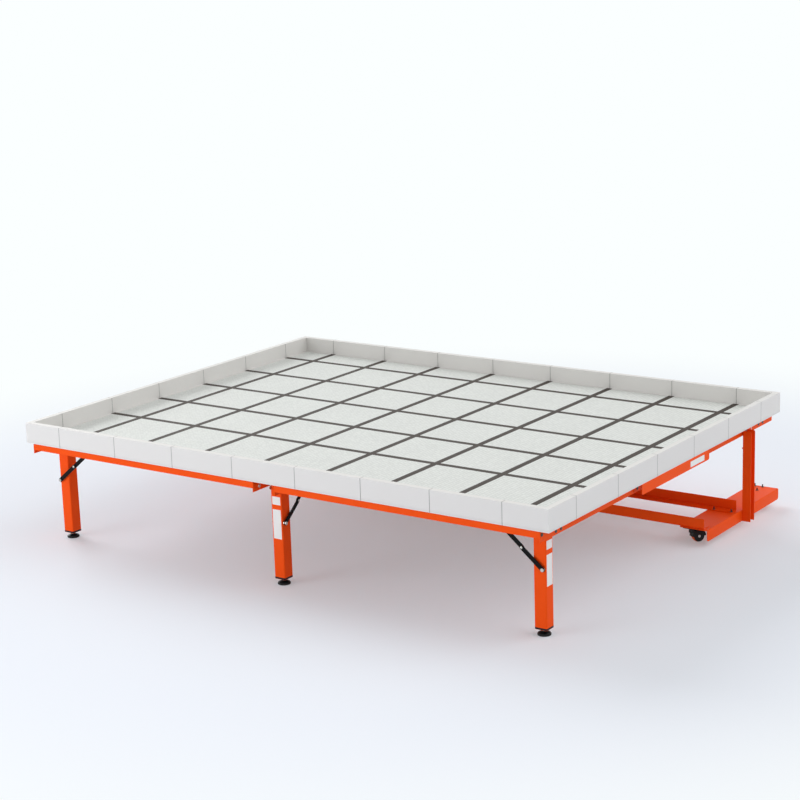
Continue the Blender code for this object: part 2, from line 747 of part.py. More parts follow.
def hanger(bm, leg):
    """Bent plate, welded under the front rail, for the top of a side leg's brace."""
    top = FRAME_Z - SHEET / 2
    half = LINK_WIDTH / 2
    section = [(LOWER_IN, top), (LOWER_IN, BRACE_TOP_Z), (LOWER_OUT, BRACE_TOP_Z),
               (LOWER_OUT, FRAME_Z - SHEET - PLATE), (LOWER_IN + HANGER_TAB, FRAME_Z - SHEET - PLATE),
               (LOWER_IN + HANGER_TAB, top)]
    rows = [[(BRACE_TOP_IN + u, v, z) for v, z in section] for u in (-half, half)]
    loft(bm, rows, leg_frame(leg))


def hanger_pin(bm, leg):
    """Stud on the hanger: round pad, shank through the upper link, retaining head."""
    profile = [(PIN_HEAD, UPPER_IN - GAP - RIVET_HEAD), (PIN_HEAD, UPPER_IN - GAP),
               (PIN_RADIUS, UPPER_IN - GAP), (PIN_RADIUS, LOWER_IN), (LINK_WIDTH / 2, LOWER_IN),
               (LINK_WIDTH / 2, LOWER_OUT), (PIN_HEAD, LOWER_OUT),
               (PIN_HEAD, LOWER_OUT + RIVET_HEAD)]
    lathe(bm, profile, 16, along(leg_point(leg, BRACE_TOP_IN, 0, BRACE_TOP_Z),
                                 leg_way(leg, 0, 1)))


def build_pivot(leg):
    def build(bm):
        bolt(bm, leg_point(leg, LEG_PIVOT_IN, CHEEK_OUT, LEG_PIVOT_Z), leg_way(leg, 0, -1),
             2 * CHEEK_OUT, PIN_RADIUS, PIN_HEAD)
    piece("leg_pivot_" + leg, "table", ZINC, build)


def build_leg_tube(leg):
    half = LEG / 2
    top = LEG_PIVOT_Z + LEG_TOP_OVER
    outer = rounded(half, half, LEG_ROUND)
    inner = rounded(half - LEG_WALL, half - LEG_WALL, LEG_ROUND - LEG_WALL)

    def build(bm):
        levels = ((outer, LEG_END_Z), (outer, top), (inner, top), (inner, LEG_END_Z))
        loft(bm, [[(u, v, z) for u, v in outline] for outline, z in levels],
             leg_frame(leg), cyclic=True)
    tube = piece("leg_tube_" + leg, "leg_" + leg, ORANGE, build)
    combine(tube, "UNION", lambda bm: end_cap(bm, leg))
    across = leg_way(leg, 0, 1)
    drill(tube, [pivot_hole(leg),
                 (leg_point(leg, -BRACE_FOOT_OUT, 0, BRACE_FOOT_Z), across, 2 * LEG,
                  BOLT_RADIUS + GAP),
                 (leg_point(leg, 0, 0, LEG_END_Z), (0, 0, 1), 4 * CAP_PLUG,
                  STEM_RADIUS + GAP)])


def end_cap(bm, leg):
    """Plug pressed into the foot of the tube, with a rim as wide as the tube."""
    half = LEG / 2
    bore = half - LEG_WALL / 2
    lap = LEG_END_Z + LEG_WALL / 2
    wide = rounded(half, half, LEG_ROUND)
    slim = rounded(bore, bore, LEG_ROUND - LEG_WALL / 2)
    levels = ((wide, LEG_END_Z - CAP_THICK), (wide, lap), (slim, lap),
              (slim, LEG_END_Z + CAP_PLUG))
    loft(bm, [[(u, v, z) for u, v in outline] for outline, z in levels], leg_frame(leg))


def build_foot(leg):
    """Levelling foot: rubber pad, steel disc, threaded stem with its nut."""
    disc = FOOT_PAD + FOOT_CONE
    rim = FOOT_RADIUS * 0.94
    nut_top = LEG_END_Z - CAP_THICK - GAP
    nut_low = nut_top - FOOT_NUT
    profile = [(FOOT_RADIUS * 0.97, 0), (FOOT_RADIUS, FOOT_PAD * 0.2),
               (FOOT_RADIUS, FOOT_PAD * 0.85), (rim, FOOT_PAD), (rim, FOOT_PAD + FOOT_CONE * 0.25),
               (rim * 0.55, FOOT_PAD + FOOT_CONE * 0.8), (rim * 0.3, disc), (STEM_RADIUS, disc),
               (STEM_RADIUS, nut_low), (STEM_RADIUS * 1.8, nut_low),
               (STEM_RADIUS * 1.8, nut_top), (STEM_RADIUS, nut_top),
               (STEM_RADIUS, disc + STEM_LENGTH)]
    piece("leg_foot_" + leg, "foot_" + leg, FOOT_STEEL,
          lambda bm: lathe(bm, profile, 24, leg_frame(leg)))


def build_brace_bolt(leg):
    """Bolt through the leg, with a spacer that holds the brace off it."""
    half = LEG / 2
    profile = [(BOLT_HEAD, -half - GAP - BOLT_HEAD_THICK), (BOLT_HEAD, -half - GAP),
               (BOLT_RADIUS, -half - GAP), (BOLT_RADIUS, half + GAP), (BOLT_HEAD, half + GAP),
               (BOLT_HEAD, LOWER_IN - GAP), (BOLT_RADIUS, LOWER_IN - GAP),
               (BOLT_RADIUS, LOWER_OUT + GAP), (PIN_HEAD, LOWER_OUT + GAP),
               (PIN_HEAD, LOWER_OUT + GAP + BOLT_HEAD_THICK)]

    def build(bm):
        at = along(leg_point(leg, -BRACE_FOOT_OUT, 0, BRACE_FOOT_Z), leg_way(leg, 0, 1))
        lathe(bm, profile, 8, at)
    piece("brace_bolt_" + leg, "leg_" + leg, ZINC, build)


def knee():
    return (-BRACE_FOOT_OUT + LOWER_LINK * math.cos(BRACE_ANGLE),
            BRACE_FOOT_Z + LOWER_LINK * math.sin(BRACE_ANGLE))


def build_links(leg):
    frame = leg_frame(leg)
    foot = (-BRACE_FOOT_OUT, BRACE_FOOT_Z)
    top = (BRACE_TOP_IN, BRACE_TOP_Z)
    across = leg_way(leg, 0, 1)

    def lower(bm):
        prism(bm, link_outline(foot, knee(), LINK_WIDTH / 2), "Y", LOWER_IN, LOWER_OUT, frame)
    link = piece("brace_lower_" + leg, "lower_" + leg, BLACK_STEEL, lower)
    drill(link, [(leg_point(leg, foot[0], LOWER_IN, foot[1]), across, 4 * PLATE,
                  BOLT_RADIUS + GAP)])

    # The knee is the open pivot of the loop, so each link carries its own half of the rivet
    def rivet_head(bm, start, end):
        at = along(leg_point(leg, knee()[0], 0, knee()[1]), across)
        lathe(bm, [(BOLT_HEAD, start), (BOLT_HEAD, end)], 12, at)
    combine(link, "UNION", lambda bm: rivet_head(bm, (LOWER_IN + LOWER_OUT) / 2,
                                                 LOWER_OUT + RIVET_HEAD))

    def upper(bm):
        prism(bm, link_outline(knee(), top, LINK_WIDTH / 2), "Y", UPPER_IN, UPPER_OUT, frame)
    link = piece("brace_upper_" + leg, "upper_" + leg, BLACK_STEEL, upper)
    combine(link, "UNION", lambda bm: rivet_head(bm, UPPER_IN - RIVET_HEAD,
                                                 (UPPER_IN + UPPER_OUT) / 2))
    drill(link, [(leg_point(leg, top[0], UPPER_IN, top[1]), across, 4 * PLATE,
                  PIN_RADIUS + GAP)])


# Rolling base

def caster_centres():
    x = FOOT_X - CASTER_FROM_EDGE
    for side in (-1, 1):
        for end, y in (("front", FOOT_FRONT + CASTER_IN), ("rear", FOOT_REAR - CASTER_IN)):
            yield end + "_" + name_side(side), Vector((side * x, y, 0))


def rail_lines():
    """Outer corner line and shelf direction of the two base rails."""
    return (("base_rail_front", FOOT_FRONT + FRONT_RAIL_IN, 1),
            ("base_rail_rear", FOOT_FRONT + REAR_RAIL_IN, -1))


def build_cross_foot(side):
    outer = side * FOOT_X

    def build(bm):
        section = angle_outline((outer, FOOT_TOP_Z), -side * FOOT_WIDTH, -FOOT_FLANGE)
        prism(bm, section, "Y", FOOT_FRONT, FOOT_REAR)
    foot = piece("cross_foot_" + name_side(side), "base", ORANGE, build)

    def round_flange(bm):
        outline = [(TILT_Y + a, FOOT_TOP_Z + b)
                   for a, b in rounded(FOOT_LENGTH / 2, FOOT_FLANGE, FOOT_CORNER)]
        prism(bm, outline, "X", side * (FOOT_X + SHEET), side * (FOOT_X - FOOT_WIDTH - SHEET))
    combine(foot, "INTERSECT", round_flange)

    def round_plate(bm):
        outline = [(outer + a, TILT_Y + b)
                   for a, b in rounded(FOOT_WIDTH, FOOT_LENGTH / 2, FOOT_CORNER)]
        prism(bm, outline, "Z", FOOT_LOW - SHEET, FOOT_TOP_Z + SHEET)
    combine(foot, "INTERSECT", round_plate)


def build_base_rails():
    half = FOOT_X - RAIL_END_IN
    for name, y, turn in rail_lines():
        def build(bm, y=y, turn=turn):
            low = FOOT_TOP_Z + GAP
            section = angle_outline((y, low), turn * RAIL_WIDTH, RAIL_HEIGHT)
            prism(bm, section, "X", -half, half)
        piece(name, "base", ORANGE, build)


def build_post(side):
    """Channel post, open to the outside, with round top corners."""
    web = side * POST_X
    top = TILT_Z + POST_OVER

    def build(bm):
        section = channel_outline(web, TILT_Y - POST_WIDTH / 2, TILT_Y + POST_WIDTH / 2,
                                  side * POST_DEPTH)
        prism(bm, section, "Z", FOOT_LOW, top)
    post = piece("post_" + name_side(side), "base", ORANGE, build)

    def keep(bm):
        far = web + side * POST_DEPTH
        outline = [(web - side * SHEET, FOOT_LOW - SHEET), (far, FOOT_LOW - SHEET)]
        for step in range(5):
            turn = math.radians(90) * step / 4
            outline.append((far - side * POST_CORNER * (1 - math.cos(turn)),
                            top - POST_CORNER * (1 - math.sin(turn))))
        outline.append((web - side * SHEET, top))
        prism(bm, outline, "Y", TILT_Y - POST_WIDTH, TILT_Y + POST_WIDTH)
    combine(post, "INTERSECT", keep)

    def boss(bm):
        """Thick washer that keeps the post clear of the bolt heads on the side rail."""
        lathe(bm, [(TILT_SPACER_RADIUS, GAP), (TILT_SPACER_RADIUS, POST_X - SIDE_X + SHEET / 2)],
              24, along((side * SIDE_X, TILT_Y, TILT_Z), (side, 0, 0)))
    combine(post, "UNION", boss)

    def stop(bm):
        """Stop stud under the tilt axis, which runs into the slot of the side rail."""
        place = (side * POST_X, TILT_Y, TILT_Z - STOP_BELOW)
        lathe(bm, [(STOP_RADIUS, -STOP_REACH), (STOP_RADIUS, SHEET / 2), (BOLT_HEAD, SHEET / 2),
                   (BOLT_HEAD, SHEET + BOLT_HEAD_THICK)], 12, along(place, (side, 0, 0)))
    combine(post, "UNION", stop)
    drill(post, [((web, TILT_Y, TILT_Z), (side, 0, 0), 8 * TILT_SPACER, TILT_RADIUS + GAP)])


def build_tilt_bolt(side):
    def build(bm):
        bolt(bm, (side * (POST_X + SHEET), TILT_Y, TILT_Z), (-side, 0, 0),
             POST_X + SHEET - SIDE_X + SHEET, TILT_RADIUS, TILT_HEAD)
    piece("tilt_bolt_" + name_side(side), "base", ZINC, build)


# Casters

PLATE_TOP = FOOT_TOP_Z - SHEET - GAP
NECK_TOP = PLATE_TOP - SHEET - GAP
HOOD_RADIUS = WHEEL_RADIUS + HOOD_CLEAR + HOOD_SKIN
CHEEK_AT = WHEEL_WIDTH / 2 + HOOD_GAP


def build_caster_plate(name, centre):
    half_x, half_y = CASTER_PLATE_X / 2, CASTER_PLATE_Y / 2
    piece("caster_plate_" + name, "base", BLACK_STEEL, lambda bm: box(
        bm, (centre.x - half_x, centre.y - half_y, PLATE_TOP - SHEET),
        (centre.x + half_x, centre.y + half_y, PLATE_TOP)))


def caster_frame(centre):
    """Frame at the wheel's centre: X is the way it rolls, Y its axle, Z up.

    The rear wheels are turned round, under the foot.
    """
    angle = TRAIL_ANGLE if centre.y < TILT_Y else TRAIL_ANGLE + math.pi
    turn = Matrix.Rotation(angle, 4, "Z")
    offset = turn @ Vector((TRAIL, 0, 0))
    return Matrix.Translation(centre + offset + Vector((0, 0, WHEEL_RADIUS))) @ turn


def build_hood(name, centre):
    frame = caster_frame(centre)
    width = CHEEK_AT + HOOD_SKIN

    def build(bm):
        upper = [(HOOD_RADIUS * math.cos(math.pi * step / 12),
                  HOOD_RADIUS * math.sin(math.pi * step / 12)) for step in range(13)]
        radius = WHEEL_RADIUS - HOOD_CLEAR
        lower = [(radius * math.cos(math.pi * (1 + step / 12)),
                  radius * math.sin(math.pi * (1 + step / 12))) for step in range(13)]
        prism(bm, upper + lower, "Y", -width, width, frame)
    hood = piece("caster_fork_" + name, "fork_" + name, BLACK_PLASTIC, build)

    def neck(bm):
        low = WHEEL_RADIUS + (HOOD_RADIUS - HOOD_SKIN) * 0.6
        lathe(bm, [(NECK_RADIUS * 0.9, low), (NECK_RADIUS * 0.9, NECK_TOP - SHEET),
                   (NECK_RADIUS, NECK_TOP - SHEET), (NECK_RADIUS, NECK_TOP)], 20,
              Matrix.Translation(centre))
    combine(hood, "UNION", neck)

    def cavity(bm):
        radius = WHEEL_RADIUS + HOOD_CLEAR
        outline = [(radius * math.cos(math.pi * step / 12), radius * math.sin(math.pi * step / 12))
                   for step in range(13)]
        outline += [(-radius, -2 * WHEEL_RADIUS), (radius, -2 * WHEEL_RADIUS)]
        prism(bm, outline, "Y", -CHEEK_AT, CHEEK_AT, frame)
    combine(hood, "DIFFERENCE", cavity)
    axle = tuple(frame.to_3x3() @ Vector((0, 1, 0)))
    drill(hood, [(tuple(frame.translation), axle, 4 * width, AXLE_RADIUS + GAP)])


def build_wheel(name, centre):
    """Soft tyre on a hub whose axle ends show in the fork's cheeks."""
    frame = caster_frame(centre) @ Matrix.Rotation(math.radians(90), 4, "X")
    half = WHEEL_WIDTH / 2
    end = CHEEK_AT + HOOD_SKIN + HOOD_GAP

    recess = half - HUB_RECESS
    side = [(AXLE_RADIUS, end), (AXLE_RADIUS, recess), (HUB_RADIUS, recess), (HUB_RADIUS, half),
            (WHEEL_RADIUS * 0.93, half), (WHEEL_RADIUS, half * 0.6)]
    profile = [(radius, -z) for radius, z in side] + list(reversed(side))
    piece("caster_wheel_" + name, "wheel_" + name, WHEEL_ORANGE,
          lambda bm: lathe(bm, profile, 28, frame))


# Assembly

def place_bodies():
    body("base", (0, 0, 0))
    body("table", (0, TILT_Y, TILT_Z), "base")
    for leg in LEG_FRAMES:
        body("leg_" + leg, leg_point(leg, LEG_PIVOT_IN, 0, LEG_PIVOT_Z), "table")
        body("foot_" + leg, leg_point(leg, 0, 0, 0), "leg_" + leg)
        body("lower_" + leg, leg_point(leg, -BRACE_FOOT_OUT, 0, BRACE_FOOT_Z), "leg_" + leg)
        body("upper_" + leg, leg_point(leg, BRACE_TOP_IN, 0, BRACE_TOP_Z), "table")
    for name, centre in caster_centres():
        body("fork_" + name, centre, "base")
        body("wheel_" + name, caster_frame(centre).translation, "fork_" + name)


def build_field():
    build_tiles()
    build_end_walls()
    build_side_walls()


def build_frame():
    for side in (-1, 1):
        build_side_rail(side)
        build_mid_rail(side)
        build_long_rail(side, True)
        build_long_rail(side, False)
        build_bearers(side)
        build_handle(side)
        build_side_bracket(side)
    build_splices()
    build_bridge()


def build_legs():
    for leg in LEG_FRAMES:
        build_pivot(leg)
        build_leg_tube(leg)
        build_foot(leg)
        build_brace_bolt(leg)
        build_links(leg)


def build_base():
    for side in (-1, 1):
        build_cross_foot(side)
        build_post(side)
        build_tilt_bolt(side)
    build_base_rails()
    for name, centre in caster_centres():
        build_caster_plate(name, centre)
        build_hood(name, centre)
        build_wheel(name, centre)


def main():
    clear_scene()
    place_bodies()
    build_field()
    build_frame()
    build_legs()
    build_base()


main()
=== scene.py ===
"""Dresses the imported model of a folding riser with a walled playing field, and sets its studio."""
import json
import math

import bmesh
import bpy
from mathutils import Euler, Matrix, Vector


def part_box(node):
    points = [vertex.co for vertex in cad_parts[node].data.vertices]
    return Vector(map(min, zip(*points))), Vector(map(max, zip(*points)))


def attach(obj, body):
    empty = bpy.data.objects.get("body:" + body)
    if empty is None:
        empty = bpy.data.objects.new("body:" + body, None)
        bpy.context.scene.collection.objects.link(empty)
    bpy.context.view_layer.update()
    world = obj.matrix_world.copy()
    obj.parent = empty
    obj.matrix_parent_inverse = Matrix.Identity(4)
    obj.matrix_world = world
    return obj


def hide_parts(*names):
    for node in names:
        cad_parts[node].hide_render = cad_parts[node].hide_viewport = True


bl_info = {
    "name": "Folding Riser",
    "version": (1, 0, 0),
    "blender": (4, 5, 0),
    "location": "View3D > Sidebar > Riser",
    "description": "Finishes, fasteners, feet, wheels, field lines and studio for a folding riser",
    "category": "Object",
}

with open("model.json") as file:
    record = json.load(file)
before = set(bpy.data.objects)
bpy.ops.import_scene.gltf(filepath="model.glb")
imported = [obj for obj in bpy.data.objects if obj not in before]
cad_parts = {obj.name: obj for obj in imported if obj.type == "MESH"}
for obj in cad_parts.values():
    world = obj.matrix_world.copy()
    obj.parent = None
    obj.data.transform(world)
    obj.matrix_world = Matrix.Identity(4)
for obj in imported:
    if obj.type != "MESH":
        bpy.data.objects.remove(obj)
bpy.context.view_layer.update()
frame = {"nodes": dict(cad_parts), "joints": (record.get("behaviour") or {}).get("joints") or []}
INCH = 0.0254
NODES = frame["nodes"]

FIELD_LOW, FIELD_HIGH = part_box("floor_tiles")
RAIL_LOW, RAIL_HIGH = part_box("side_rail_right")
BASE_LOW, BASE_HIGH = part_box("cross_foot_right")
DECK_Z = FIELD_LOW[2]
FRONT, BACK = RAIL_LOW[1], RAIL_HIGH[1]
LEGS = ("left", "middle", "right")
WALL_PIECE = 12 * INCH
SEAM_SHADE = 0.06 * INCH
SHEET = 0.1 * INCH
HANDLE_SHEET = 0.0028
GAP = 0.0003
STEM_RADIUS = 0.19 * INCH
BOLT_END = 0.36 * INCH
CORNER_BOLT_Z = DECK_Z - 0.57 * INCH
# Caps and rivet heads sink this far into what they cover
SEAT = 0.0001
SHARP_ANGLE = math.radians(30)
CORNER_STEPS = 4


# Sizes and colours a user may change

class RiserSizes(bpy.types.PropertyGroup):
    """Sizes of the small parts that only this dressing holds"""
    line_width: bpy.props.FloatProperty(
        name="Line width", description="Width of the printed lines on the field",
        default=1.05 * INCH, min=0.0, unit="LENGTH")
    line_step: bpy.props.FloatProperty(
        name="Line spacing", description="Distance between two printed lines",
        default=12 * INCH, min=0.01, unit="LENGTH")
    head_radius: bpy.props.FloatProperty(
        name="Bolt head radius", description="Corner radius of a hexagon bolt head",
        default=0.22 * INCH, min=0.0, unit="LENGTH")
    head_height: bpy.props.FloatProperty(
        name="Bolt head height", description="Height of a hexagon bolt head",
        default=0.1 * INCH, min=0.0, unit="LENGTH")
    thread_pitch: bpy.props.FloatProperty(
        name="Thread pitch", description="Pitch of the thread on a levelling foot",
        default=0.0018, min=0.0005, unit="LENGTH")
    film: bpy.props.FloatProperty(
        name="Film thickness", description="Thickness of the labels and the printed lines",
        default=0.00015, min=0.00001, unit="LENGTH")


def colour_property(label, description, default):
    return bpy.props.StringProperty(name=label, description=description, default=default)


class RiserColours(bpy.types.PropertyGroup):
    """Colours as sRGB hex codes"""
    orange: colour_property("Orange", "Powder coat on the frame, legs and base", "#FC5512")
    tiles: colour_property("Tiles", "Moulded field tiles", "#E8EBE7")
    walls: colour_property("Walls", "Moulded field walls", "#E3E1DE")
    lines: colour_property("Lines", "Printed lines on the field", "#3A302A")
    black: colour_property("Black", "Black steel and plastic", "#0B0B0C")
    zinc: colour_property("Zinc", "Zinc-plated fasteners", "#C4C2BD")
    tyre: colour_property("Tyre", "Polyurethane tread of the wheels", "#E8641E")
    rubber: colour_property("Rubber", "Pads under the levelling feet", "#141415")
    label: colour_property("Label", "Blank labels", "#F2F2EF")
    floor: colour_property("Floor", "Studio floor", "#F0F5FF")
    background: colour_property("Background", "What the camera sees far off", "#FBFFFF")


def sizes():
    return bpy.context.scene.riser_sizes


def colours():
    return bpy.context.scene.riser_colours


# Materials

def linear(code):
    """Linear colour with alpha from an sRGB hex code."""
    values = [int(code[i:i + 2], 16) / 255 for i in (1, 3, 5)]
    return tuple(v / 12.92 if v <= 0.04045 else ((v + 0.055) / 1.055) ** 2.4
                 for v in values) + (1.0,)


def shade(code, factor):
    """Linear colour of a hex code, lighter or darker by a factor."""
    return tuple(min(1.0, v * factor) for v in linear(code)[:3]) + (1.0,)


def add(tree, kind, inputs=None, **settings):
    """Add a node. An input is a plain value, or a node with the name of its output."""
    made = tree.nodes.new(kind)
    for key, value in settings.items():
        setattr(made, key, value)
    for socket, value in (inputs or {}).items():
        if isinstance(value, tuple) and isinstance(value[0], bpy.types.Node):
            tree.links.new(value[0].outputs[value[1]], made.inputs[socket])
        else:
            made.inputs[socket].default_value = value
    return made


def blank_material(name):
    mat = bpy.data.materials.new(name)
    mat.use_nodes = True
    mat.node_tree.nodes.clear()
    return mat, mat.node_tree


def per_metre(size_mm):
    """Texture scale for a pattern whose features repeat at a size in millimetres."""
    return 1000.0 / size_mm


def close_material(mat, tree, shader):
    add(tree, "ShaderNodeOutputMaterial", {"Surface": (shader, "BSDF")})
    return mat


def powder_coat():
    """Polyester powder coat on steel sheet: even colour, fine orange peel, soft gloss."""
    mat, tree = blank_material("powder_coated_steel")
    code = colours().orange
    place = add(tree, "ShaderNodeTexCoord")
    # Film thickness drifts over a hand's width, which shows as a slight change of tone
    drift = add(tree, "ShaderNodeTexNoise", {"Vector": (place, "Object"),
                                             "Scale": per_metre(110), "Detail": 3.0})
    tone = add(tree, "ShaderNodeMix", {"Factor": (drift, "Fac"), "A": shade(code, 0.93),
                                       "B": shade(code, 1.06)}, data_type="RGBA")
    # Orange peel is about 1 mm across, drawn at 2.5 mm to show
    peel = add(tree, "ShaderNodeTexNoise", {"Vector": (place, "Object"),
                                            "Scale": per_metre(2.5), "Detail": 2.0})
    gloss = add(tree, "ShaderNodeMapRange", {"Value": (drift, "Fac"), "To Min": 0.34,
                                             "To Max": 0.46})
    bump = add(tree, "ShaderNodeBump", {"Height": (peel, "Fac"), "Strength": 0.25,
                                        "Distance": 0.0004})
    shader = add(tree, "ShaderNodeBsdfPrincipled",
                 {"Base Color": (tone, "Result"), "Roughness": (gloss, "Result"),
                  "Normal": (bump, "Normal"), "Specular IOR Level": 0.06})
    return close_material(mat, tree, shader)


def tile_polypropylene():
    """Moulded polypropylene tile: pale, pebbled, with a faint sheen at low angles."""
    mat, tree = blank_material("tile_polypropylene")
    code = colours().tiles
    place = add(tree, "ShaderNodeTexCoord")
    # Pebbles are about 4 mm across, drawn at 15 mm to show
    pebble = add(tree, "ShaderNodeTexVoronoi", {"Vector": (place, "Object"),
                                                "Scale": per_metre(15.0),
                                                "Randomness": 0.2}, feature="F1")
    haze = add(tree, "ShaderNodeTexNoise", {"Vector": (place, "Object"),
                                            "Scale": per_metre(160), "Detail": 1.0})
    base = add(tree, "ShaderNodeMix", {"Factor": (haze, "Fac"), "A": shade(code, 0.97),
                                       "B": shade(code, 1.03)}, data_type="RGBA")
    # Painted shade: the colour is darkened in the creases between the pebbles
    pebble_painted_shade = add(tree, "ShaderNodeMapRange", {"Value": (pebble, "Distance"), "From Min": 0.3,
                                           "From Max": 0.6, "To Min": 0.0, "To Max": 0.25},
              interpolation_type="SMOOTHSTEP")
    tone = add(tree, "ShaderNodeMix", {"Factor": (pebble_painted_shade, "Result"), "A": (base, "Result"),
                                       "B": shade(code, 0.35)}, data_type="RGBA")
    bump = add(tree, "ShaderNodeBump", {"Height": (pebble, "Distance"), "Strength": 0.8,
                                        "Distance": 0.002}, invert=True)
    shader = add(tree, "ShaderNodeBsdfPrincipled",
                 {"Base Color": (tone, "Result"), "Roughness": 0.45,
                  "Normal": (bump, "Normal"), "Specular IOR Level": 0.3})
    return close_material(mat, tree, shader)


def wall_polypropylene():
    """Moulded wall: the same plastic, nearly smooth, a little darker near its lower edge."""
    mat, tree = blank_material("wall_polypropylene")
    code = colours().walls
    place = add(tree, "ShaderNodeTexCoord")
    parts = add(tree, "ShaderNodeSeparateXYZ", {"Vector": (place, "Object")})
    # A darker band about 12 mm high lies above the lower edge, darkest near its foot
    band_low, band_dark, band_high = (DECK_Z + rise for rise in (0.0015, 0.0035, 0.014))
    band = add(tree, "ShaderNodeMapRange",
               {"Value": (parts, "Z"), "From Min": band_dark, "From Max": band_high,
                "To Min": 0.0, "To Max": 1.0}, interpolation_type="SMOOTHSTEP")
    edge = add(tree, "ShaderNodeMapRange",
               {"Value": (parts, "Z"), "From Min": band_low, "From Max": band_dark,
                "To Min": 1.0, "To Max": 0.0})
    plain = add(tree, "ShaderNodeMath", {0: (band, "Result"), 1: (edge, "Result")},
                operation="ADD", use_clamp=True)
    base = add(tree, "ShaderNodeMix", {"Factor": (plain, "Value"), "A": shade(code, 0.93),
                                       "B": shade(code, 1.0)}, data_type="RGBA")
    seams = None
    for axis, first in (("X", FIELD_LOW[0]), ("Y", FIELD_LOW[1])):
        # Dirt and shade gather in the butt joints
        shifted = add(tree, "ShaderNodeMath", {0: (parts, axis), 1: -first}, operation="ADD")
        cycle = add(tree, "ShaderNodeMath", {0: (shifted, "Value"), 1: WALL_PIECE},
                    operation="PINGPONG")
        line = add(tree, "ShaderNodeMath", {0: (cycle, "Value"), 1: WALL_PIECE / 2,
                                            2: SEAM_SHADE}, operation="COMPARE")
        seams = line if seams is None else add(
            tree, "ShaderNodeMath", {0: (seams, "Value"), 1: (line, "Value")},
            operation="MAXIMUM")
    dark = add(tree, "ShaderNodeMath", {0: (seams, "Value"), 1: 0.5}, operation="MULTIPLY")
    tone = add(tree, "ShaderNodeMix", {"Factor": (dark, "Value"), "A": (base, "Result"),
                                       "B": shade(code, 0.1)}, data_type="RGBA")
    # Spark-erosion grain of the mould is under 1 mm, drawn at 3 mm to show
    grain = add(tree, "ShaderNodeTexNoise", {"Vector": (place, "Object"),
                                             "Scale": per_metre(3.0), "Detail": 2.0})
    bump = add(tree, "ShaderNodeBump", {"Height": (grain, "Fac"), "Strength": 0.15,
                                        "Distance": 0.0003})
    shader = add(tree, "ShaderNodeBsdfPrincipled",
                 {"Base Color": (tone, "Result"), "Roughness": 0.4,
                  "Normal": (bump, "Normal"), "IOR": 1.49})
    return close_material(mat, tree, shader)


def printed_ink():
    """Ink of the lines on the tiles: dark, matt, slightly uneven in tone."""
    mat, tree = blank_material("printed_line_ink")
    code = colours().lines
    place = add(tree, "ShaderNodeTexCoord")
    speck = add(tree, "ShaderNodeTexNoise", {"Vector": (place, "Object"),
                                             "Scale": per_metre(6.0), "Detail": 3.0})
    tone = add(tree, "ShaderNodeMix", {"Factor": (speck, "Fac"), "A": shade(code, 0.8),
                                       "B": shade(code, 1.25)}, data_type="RGBA")
    bump = add(tree, "ShaderNodeBump", {"Height": (speck, "Fac"), "Strength": 0.2,
                                        "Distance": 0.0004})
    shader = add(tree, "ShaderNodeBsdfPrincipled",
                 {"Base Color": (tone, "Result"), "Roughness": 0.5,
                  "Normal": (bump, "Normal"), "Specular IOR Level": 0.15})
    return close_material(mat, tree, shader)


def grained_black(name, code, grain_mm, roughness, height, gloss=0.3):
    """Black part with a fine grain: satin paint, moulded nylon or rubber."""
    mat, tree = blank_material(name)
    place = add(tree, "ShaderNodeTexCoord")
    grain = add(tree, "ShaderNodeTexNoise", {"Vector": (place, "Object"),
                                             "Scale": per_metre(grain_mm), "Detail": 3.0})
    tone = add(tree, "ShaderNodeMix", {"Factor": (grain, "Fac"), "A": shade(code, 0.7),
                                       "B": shade(code, 1.3)}, data_type="RGBA")
    bump = add(tree, "ShaderNodeBump", {"Height": (grain, "Fac"), "Strength": 0.3,
                                        "Distance": height})
    shader = add(tree, "ShaderNodeBsdfPrincipled",
                 {"Base Color": (tone, "Result"), "Roughness": roughness,
                  "Normal": (bump, "Normal"), "Specular IOR Level": gloss})
    return close_material(mat, tree, shader)


def zinc_plate(name, factor, roughness):
    """Zinc plating on steel, blotchy in tone and gloss. A low factor darkens it as painted shade,
    standing for the dark surroundings that the metal reflects.
    """
    mat, tree = blank_material(name)
    code = colours().zinc
    place = add(tree, "ShaderNodeTexCoord")
    # Plating blotches are about 4 mm across
    blotch = add(tree, "ShaderNodeTexNoise", {"Vector": (place, "Object"),
                                              "Scale": per_metre(4.0), "Detail": 4.0})
    tone = add(tree, "ShaderNodeMix", {"Factor": (blotch, "Fac"), "A": shade(code, 0.85 * factor),
                                       "B": shade(code, 1.1 * factor)}, data_type="RGBA")
    gloss = add(tree, "ShaderNodeMapRange", {"Value": (blotch, "Fac"),
                                             "To Min": roughness - 0.08,
                                             "To Max": roughness + 0.1})
    shader = add(tree, "ShaderNodeBsdfPrincipled",
                 {"Base Color": (tone, "Result"), "Roughness": (gloss, "Result"),
                  "Metallic": 1.0})
    return close_material(mat, tree, shader)


def tyre_polyurethane():
    """Cast polyurethane tread: saturated, waxy, mottled all over."""
    mat, tree = blank_material("tyre_polyurethane")
    code = colours().tyre
    place = add(tree, "ShaderNodeTexCoord")
    scuff = add(tree, "ShaderNodeTexNoise", {"Vector": (place, "Object"),
                                             "Scale": per_metre(5.0), "Detail": 4.0})
    tone = add(tree, "ShaderNodeMix", {"Factor": (scuff, "Fac"), "A": shade(code, 0.8),
                                       "B": shade(code, 1.1)}, data_type="RGBA")
    shader = add(tree, "ShaderNodeBsdfPrincipled",
                 {"Base Color": (tone, "Result"), "Roughness": 0.42})
    return close_material(mat, tree, shader)


